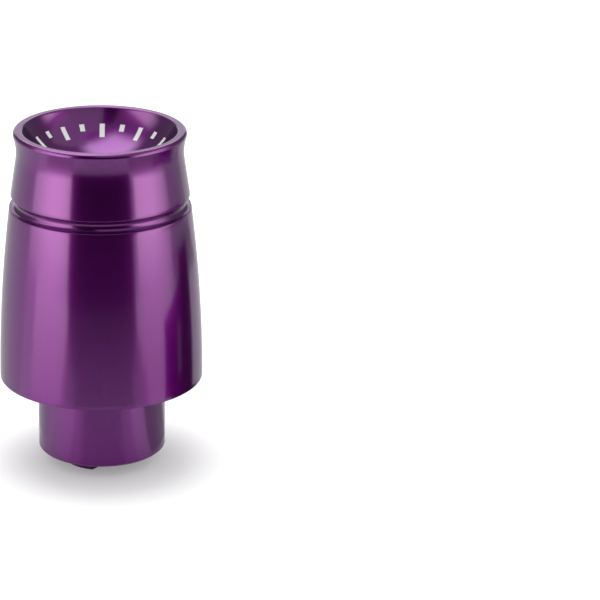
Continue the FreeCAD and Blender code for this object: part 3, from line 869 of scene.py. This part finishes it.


# Board paints, glows that only reflections see: name, shade, how see-through it is, painted sheen
BOARD_PAINTS = (
    ("black_flag", (0.004, 0.004, 0.004), None, 0.0),
    # painted shade on the floor by the foot, with a painted violet glow of the part on it
    ("paint_shade_and_violet_glow", (0.28, 0.0, 0.32), evenly(0.29), 0.0),
    # painted shade on the floor in front, with a faint painted violet glow
    ("paint_shade_violet_tint", (0.055, 0.0, 0.085), (0.50, 0.92, 0.17, 0.85), 0.0),
    # painted shade on the floor in front, fully closed towards edge on
    ("paint_shade_graduated", BLACK, (0.50, 0.88, 0.36, 1.0), 0.0),
    # painted shade on the floor behind the part
    ("paint_shade_even", BLACK, evenly(0.18), 0.0),
    # painted light: the softboxes' pools of light on the floor, brighter edge on by a painted sheen
    ("paint_light_floor_left", (0.56, 0.54, 0.51), None, 6.6),
    ("paint_light_floor_right", (0.42, 0.40, 0.385), None, 6.6),
    # painted shade: dark patches to the right of the part
    ("paint_shade_card", (0.05, 0.01, 0.05), None, 0.0),
    # painted reflection of a lit violet surface to the right
    ("paint_violet_reflection", (0.17, 0.0, 0.18), None, 0.0),
    # painted highlight: a light streak to the right
    ("paint_highlight_streak", (0.26, 0.18, 0.27), None, 0.0),
    # painted shade: a dark violet patch that the neck reflects
    ("paint_shade_neck", (0.15, 0.0, 0.17), evenly(0.6), 0.0),
    # painted shade to the right of the part, on the floor and low over it
    ("paint_shade_foot", BLACK, evenly(0.5), 0.0),
    ("paint_shade_far", BLACK, evenly(0.4), 0.0),
    ("white_board", (0.95, 0.95, 0.95), None, 0.0),
    # painted light: glows brighter than white
    ("paint_light_above", (2.3, 2.2, 2.1), None, 0.0),
    ("grey_board", (0.52, 0.52, 0.52), None, 0.0),
)

# Boards: name, first and last bearing, foot and top as (radius, level), the paint it glows with, rise on
# the way
BOARDS = (
    ("flag_front", -37.0, 38.0, (0.170, 0.0), (0.170, 0.170), "black_flag", 0.0),
    ("flag_high", -34.0, -8.0, (0.170, 0.170), (0.080, 0.220), "black_flag", 0.0),
    # painted shade on the floor in front and by the foot, with a painted violet glow of the part near it
    ("painted_shade_near", -29.0, 30.0, (0.012, UNDER), (0.045, UNDER), "paint_shade_and_violet_glow", 0.0),
    ("painted_shade_near_wide", -44.0, 47.0, (0.012, OVER), (0.045, OVER), "paint_shade_and_violet_glow", 0.0),
    ("painted_shade_low_wide", -40.0, 46.0, (0.045, OVER), (0.085, OVER), "paint_shade_violet_tint", 0.0),
    ("painted_shade_low", -27.0, 31.0, (0.045, UNDER), (0.085, UNDER), "paint_shade_violet_tint", 0.0),
    ("painted_shade_middle_wide", -38.0, 42.0, (0.085, OVER), (0.115, OVER), "paint_shade_violet_tint", 0.0),
    ("painted_shade_middle", -31.5, 34.5, (0.085, UNDER), (0.115, UNDER), "paint_shade_violet_tint", 0.0),
    ("painted_shade_front", -36.0, 38.0, (0.115, UNDER), (0.600, UNDER), "paint_shade_graduated", 0.0),
    # painted shade on the floor behind the part
    ("painted_shade_back", 110.0, 268.0, (0.020, UNDER), (0.600, UNDER), "paint_shade_even", 0.0),
    # painted light: the softboxes' pools of light on the floor
    ("painted_light_left", -77.0, -36.0, (0.060, UNDER), (0.190, UNDER), "paint_light_floor_left", 0.0),
    ("painted_light_right", 38.0, 84.0, (0.058, UNDER), (0.190, UNDER), "paint_light_floor_right", 0.0),
    # painted reflection of a lit violet surface to the right
    ("painted_reflection_right", 64.0, 90.0, (0.050, -0.020), (0.050, 0.021), "paint_violet_reflection", 0.007),
    # painted shade: dark patches to the right, upright
    ("painted_shade_card_far", 90.0, 108.0, (0.050, -0.020), (0.050, 0.033), "paint_shade_card", 0.001),
    ("painted_shade_card", 84.0, 91.0, (0.049, -0.020), (0.049, 0.014), "paint_shade_card", 0.010),
    # painted highlight: a light streak to the right
    ("painted_highlight_right", 81.0, 86.0, (0.048, 0.0065), (0.048, 0.018), "paint_highlight_streak", 0.002),
    # painted shade: a dark violet patch that the neck reflects
    ("painted_shade_neck_wide", 64.0, 100.0, (0.030, 0.0439), (0.0425, 0.0439), "paint_shade_neck", 0.0),
    ("painted_shade_neck", 72.0, 97.0, (0.030, 0.0435), (0.0405, 0.0435), "paint_shade_neck", 0.0),
    ("painted_shade_neck_far", 86.0, 98.0, (0.0425, 0.0435), (0.0455, 0.0435), "paint_shade_neck", 0.0),
    # painted shade on the floor to the right of the part, and low over it
    ("painted_shade_card_foot", 72.0, 118.0, (0.040, UNDER), (0.050, UNDER), "paint_shade_card", 0.0),
    ("painted_shade_foot", 72.0, 124.0, (0.016, UNDER), (0.040, UNDER), "paint_shade_foot", 0.0),
    ("painted_shade_far", 84.0, 128.0, (0.042, 0.028), (0.085, 0.028), "paint_shade_far", 0.0),
    ("painted_shade_floor", 90.0, 132.0, (0.150, UNDER), (0.600, UNDER), "paint_shade_far", 0.0),
    ("board_back", 158.0, 206.0, (0.500, 0.0), (0.500, 0.300), "white_board", 0.0),
    # painted light: a board high up behind that glows brighter than white
    ("board_above", 158.0, 206.0, (0.500, 0.300), (0.500, 0.620), "paint_light_above", 0.0),
    ("board_high", -6.0, 130.0, (0.250, 0.248), (0.070, 0.320), "grey_board", 0.0),
)


def floor_finish(scene):
    """Pale matt floor that the camera and the metal see as white where nothing shades it; its glow is
    weaker near the foot, which paints shade round the part.
    """
    material, g, shader = new_finish("pale_floor")
    position = g.position()
    speckle = g.vary(g.noise(position, SPECKLES, detail=3.0), 0.99, 1.0)
    g.feed(shader.inputs["Base Color"], g.toned((*scene.bar_end_colours.floor, 1.0), speckle))
    shader.inputs["Roughness"].default_value = 0.9
    shader.inputs["Specular IOR Level"].default_value = 0.0
    shader.inputs["Emission Color"].default_value = (*WHITE, 1.0)
    path = g.add("ShaderNodeLightPath").outputs
    in_metal = g.product(rays_from_metal(g, path), FLOOR_IN_METAL)
    seen = g.maths("MAXIMUM", path["Is Camera Ray"], in_metal)
    x, y = g.axes(position)[:2]
    # the glow is weaker near the foot: painted shade round the part
    glow = g.spread(g.from_axis(x, y), *FLOOR_GLOW_AND_PAINTED_SHADE, smooth=True)
    g.feed(shader.inputs["Emission Strength"], g.product(seen, glow))
    return material


def board_paint_finish(name, shade, thin, painted_sheen):
    """Glowing flag, net, sheet or board, lit by no lamp: its shade is what reflections see of it, so the
    light and shade it shows are painted.

    Where thin is given, it is see-through: two tilts of the view, each counted from 0 face on to 1
    edge on, and how closed it is at each. Sheen is a painted sheen: how much brighter it glows towards
    edge on.
    """
    material, g, shader = new_finish(name)
    weave = g.vary(g.noise(g.position(), WEAVE), 0.9, 1.1)
    shader.inputs["Base Color"].default_value = (*BLACK, 1.0)
    shader.inputs["Roughness"].default_value = 1.0
    shader.inputs["Specular IOR Level"].default_value = 0.0
    shader.inputs["Emission Color"].default_value = (*shade, 1.0)
    tilt = g.add("ShaderNodeLayerWeight").outputs["Facing"]
    # painted sheen: the glow grows towards edge on
    painted_shine = g.maths("POWER", g.spread(tilt, PAINTED_SHEEN_FROM, 1.0), PAINTED_SHEEN_POWER)
    g.feed(shader.inputs["Emission Strength"],
           g.product(weave, g.maths("ADD", 1.0, g.product(painted_shine, painted_sheen))))
    if thin:
        g.feed(shader.inputs["Alpha"], g.spread(tilt, *thin, smooth=True))
    return material


def board(name, first, last, foot, top, material, rise):
    """Curved board between two bearings, from its foot to its top (radius, level).

    It rises by a given height from its first bearing to its last. Only reflections see it.
    """
    mesh = bmesh.new()
    lower = mesh.verts.new(from_camera(first, *foot))
    upper = mesh.verts.new(from_camera(first, *top))
    edge = mesh.edges.new((lower, upper))
    bmesh.ops.spin(mesh, geom=[lower, upper, edge], cent=(0, 0, 0), axis=(0, 0, 1),
                   angle=math.radians(last - first), steps=BOARD_STEPS,
                   dvec=(0, 0, rise / BOARD_STEPS), use_merge=False)
    item = stage_mesh(mesh, name, material)
    item.visible_camera = item.visible_diffuse = item.visible_shadow = False


def world_light(scene):
    """Surroundings: white to the camera, a dim room to the metal, a weak fill as light."""
    world = bpy.data.worlds.new("surroundings")
    world.use_nodes = True
    world.node_tree.nodes.clear()
    g = Graph(world.node_tree)
    path = g.add("ShaderNodeLightPath").outputs
    in_metal = g.product(rays_from_metal(g, path), ROOM_IN_METAL)
    fill = g.product(path["Is Diffuse Ray"], ROOM_FILL)
    strength = g.maths("ADD", g.maths("ADD", path["Is Camera Ray"], in_metal), fill)
    background = g.add("ShaderNodeBackground")
    background.inputs["Color"].default_value = (*WHITE, 1.0)
    g.feed(background.inputs["Strength"], strength)
    output = g.add("ShaderNodeOutputWorld")
    g.link(background.outputs[0], output.inputs[0])
    scene.world = world


class BAREND_OT_studio(bpy.types.Operator):
    """Sets up the camera, the pale floor, the lamps, the boards that the metal reflects and the room"""
    bl_idname = "bar_end.studio"
    bl_label = "Studio"

    def execute(self, context):
        scene = context.scene
        scene.view_settings.view_transform = "Standard"
        place_camera(scene)
        mesh = bmesh.new()
        bmesh.ops.create_circle(mesh, cap_ends=True, segments=96, radius=FLOOR_RADIUS)
        stage_mesh(mesh, "floor", floor_finish(scene))
        hang_lamps()
        board_paints = {name: board_paint_finish(name, *look) for name, *look in BOARD_PAINTS}
        for name, first, last, foot, top, board_paint, rise in BOARDS:
            board(name, first, last, foot, top, board_paints[board_paint], rise)
        world_light(scene)
        return {"FINISHED"}


# Sidebar panel and registration

class BAREND_PT_panel(bpy.types.Panel):
    """Bar end weight: its pieces and its studio"""
    bl_idname = "BAREND_PT_panel"
    bl_label = "Bar end weight"
    bl_space_type = "VIEW_3D"
    bl_region_type = "UI"
    bl_category = "Bar end"

    def draw(self, context):
        for operator in OPERATORS:
            self.layout.operator(operator.bl_idname)
        scene = context.scene
        for group in (scene.bar_end_weight, scene.bar_end_screw, scene.bar_end_colours):
            box = self.layout.box()
            for name in group.__annotations__:
                box.prop(group, name)


OPERATORS = (BAREND_OT_weight, BAREND_OT_screw, BAREND_OT_studio)
CLASSES = (WeightSizes, ScrewSizes, FinishColours, *OPERATORS, BAREND_PT_panel)


def register():
    for item in CLASSES:
        bpy.utils.register_class(item)
    bpy.types.Scene.bar_end_weight = PointerProperty(type=WeightSizes)
    bpy.types.Scene.bar_end_screw = PointerProperty(type=ScrewSizes)
    bpy.types.Scene.bar_end_colours = PointerProperty(type=FinishColours)


def unregister():
    del bpy.types.Scene.bar_end_colours
    del bpy.types.Scene.bar_end_screw
    del bpy.types.Scene.bar_end_weight
    for item in reversed(CLASSES):
        bpy.utils.unregister_class(item)


def main():
    register()
    bpy.ops.bar_end.weight()
    bpy.ops.bar_end.screw()
    bpy.ops.bar_end.studio()


if __name__ == "__main__":
    main()
